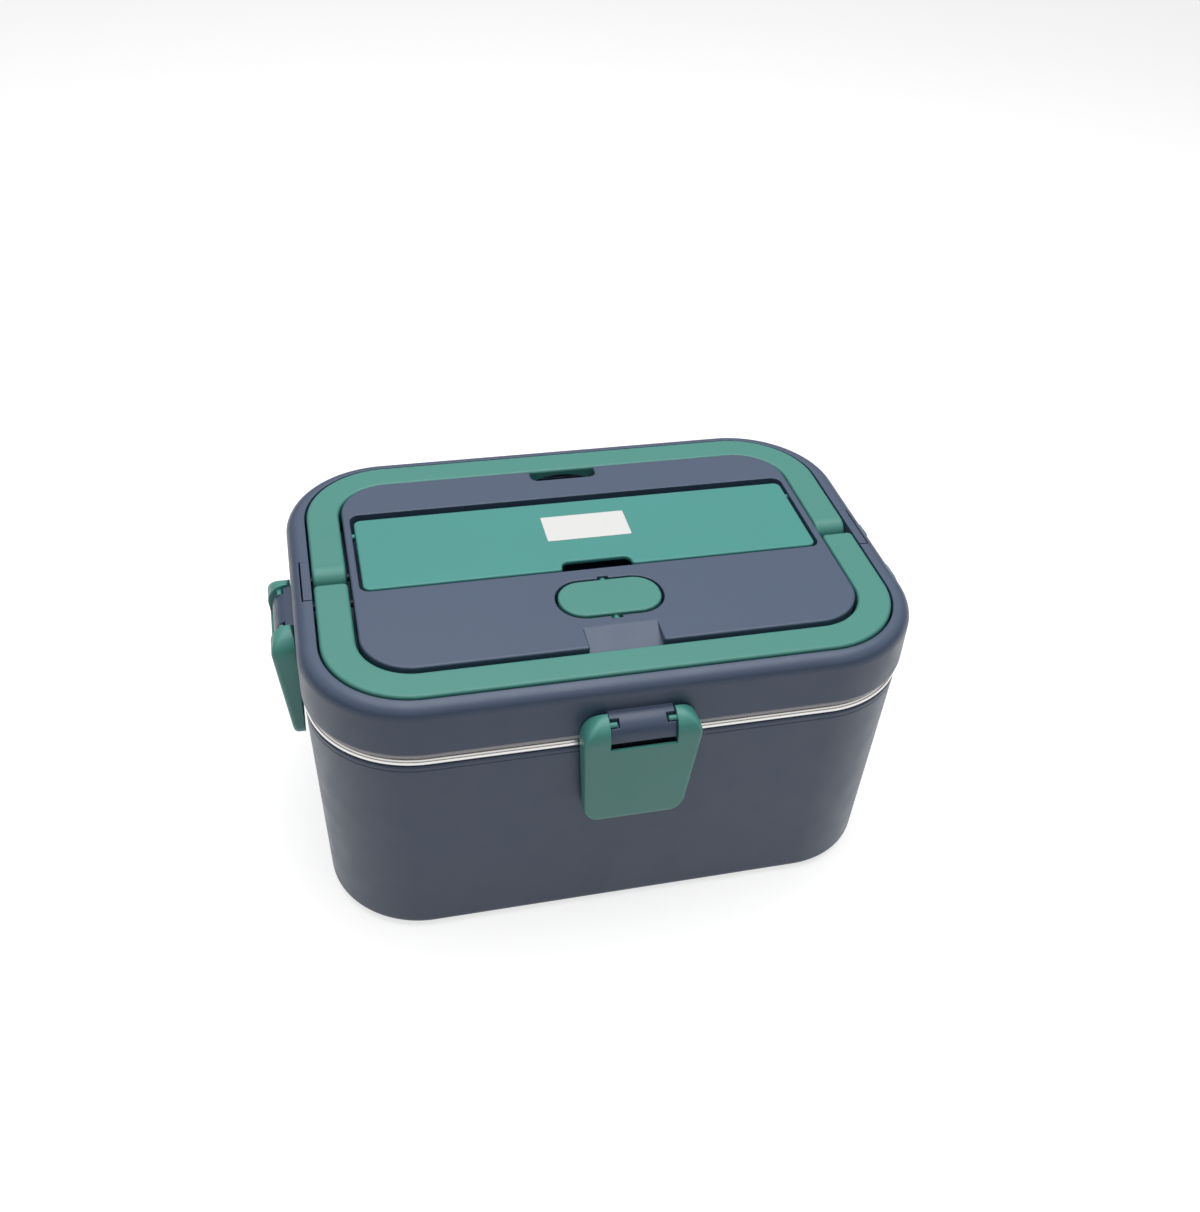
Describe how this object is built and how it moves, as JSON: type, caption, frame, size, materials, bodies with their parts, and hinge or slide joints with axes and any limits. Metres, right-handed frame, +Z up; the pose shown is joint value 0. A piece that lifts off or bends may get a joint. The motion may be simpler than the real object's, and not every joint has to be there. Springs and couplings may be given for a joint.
{
  "type": "electric lunch box",
  "caption": "Electric lunch box with a heated well, a lift-out steel container, a latched lid, folding carry handles, a cutlery compartment and a steam-vent rocker.",
  "frame": {"origin": "on the ground under the middle of the box", "axes": "+X to the right along the long side, +Y to the back, +Z up; the vent rocker is on the front half, at -Y"},
  "size_m": [0.255, 0.1794, 0.1237],
  "materials": {
    "slate_plastic": "satin moulded plastic with a fine grain",
    "green_plastic": "satin moulded plastic with a fine grain",
    "milky_plastic": "translucent milky plastic",
    "silicone": "soft matte silicone",
    "foot_rubber": "matte black rubber",
    "container_steel": "stainless sheet, satin inside, bright rim",
    "plate_aluminium": "cast and machined aluminium",
    "screw_steel": "plated steel",
    "black_plastic": "black moulded plastic",
    "black_ceramic": "dull grey ceramic",
    "contact_brass": "bright brass",
    "brown_insulation": "glossy wire insulation",
    "blue_insulation": "glossy wire insulation",
    "white_label": "blank white film"
  },
  "bodies": {
    "base": {"outer_shell": "slate_plastic", "inner_well": "slate_plastic", "base_cover": "slate_plastic", "rubber_feet": "foot_rubber", "base_screws": "screw_steel", "heating_plate": "plate_aluminium", "heater_tube": "plate_aluminium", "heating_elements": "black_ceramic", "heater_straps": "screw_steel", "strap_screws": "screw_steel", "thermal_cutout": "black_plastic", "power_inlet": "black_plastic", "inlet_pins": "contact_brass", "live_lead": "brown_insulation", "cutout_lead": "brown_insulation", "neutral_lead": "blue_insulation"},
    "container": {"steel_container": "container_steel"},
    "lid": {"lid_shell": "slate_plastic", "top_plate": "slate_plastic", "inner_lid": "milky_plastic", "lid_gasket": "silicone", "handle_pins": "screw_steel", "pin_clip_left": "slate_plastic", "pin_clip_right": "slate_plastic", "inner_lid_screws": "screw_steel", "top_plate_screws": "screw_steel"},
    "front_handle": {"front_handle": "green_plastic"},
    "back_handle": {"back_handle": "green_plastic"},
    "cutlery_cover": {"cutlery_cover": "green_plastic", "blank_label": "white_label"},
    "vent_rocker": {"vent_rocker": "green_plastic", "vent_plug": "silicone"},
    "front_latch": {"front_latch": "green_plastic"},
    "right_latch": {"right_latch": "green_plastic"},
    "back_latch": {"back_latch": "green_plastic"},
    "left_latch": {"left_latch": "green_plastic"}
  },
  "joints": [
    {"name": "container_lift", "type": "slide", "parent": "base", "child": "container", "axis": [0, 0, 1], "range_m": [0, 0.09]},
    {"name": "lid_lift", "type": "slide", "parent": "container", "child": "lid", "axis": [0, 0, 1], "range_m": [0, 0.08]},
    {"name": "front_handle_fold", "type": "hinge", "parent": "lid", "child": "front_handle", "pos_m": [0, -0.0105, 0.1164], "axis": [-1, 0, 0], "range_deg": [0, 90]},
    {"name": "back_handle_fold", "type": "hinge", "parent": "lid", "child": "back_handle", "pos_m": [0, 0.006, 0.1164], "axis": [1, 0, 0], "range_deg": [0, 90]},
    {"name": "cutlery_cover_hinge", "type": "hinge", "parent": "lid", "child": "cutlery_cover", "pos_m": [0, 0.0263, 0.1208], "axis": [-1, 0, 0], "range_deg": [0, 105]},
    {"name": "vent_rocker_tip", "type": "hinge", "parent": "lid", "child": "vent_rocker", "pos_m": [0, -0.03125, 0.1213], "axis": [0, 1, 0], "range_deg": [0, 10]},
    {"name": "front_latch_hinge", "type": "hinge", "parent": "lid", "child": "front_latch", "pos_m": [0, -0.085, 0.108], "axis": [-1, 0, 0], "range_deg": [0, 110]},
    {"name": "right_latch_hinge", "type": "hinge", "parent": "lid", "child": "right_latch", "pos_m": [0.1228, 0, 0.108], "axis": [0, -1, 0], "range_deg": [0, 110]},
    {"name": "back_latch_hinge", "type": "hinge", "parent": "lid", "child": "back_latch", "pos_m": [0, 0.085, 0.108], "axis": [1, 0, 0], "range_deg": [0, 110]},
    {"name": "left_latch_hinge", "type": "hinge", "parent": "lid", "child": "left_latch", "pos_m": [-0.1228, 0, 0.108], "axis": [0, 1, 0], "range_deg": [0, 110]}
  ]
}
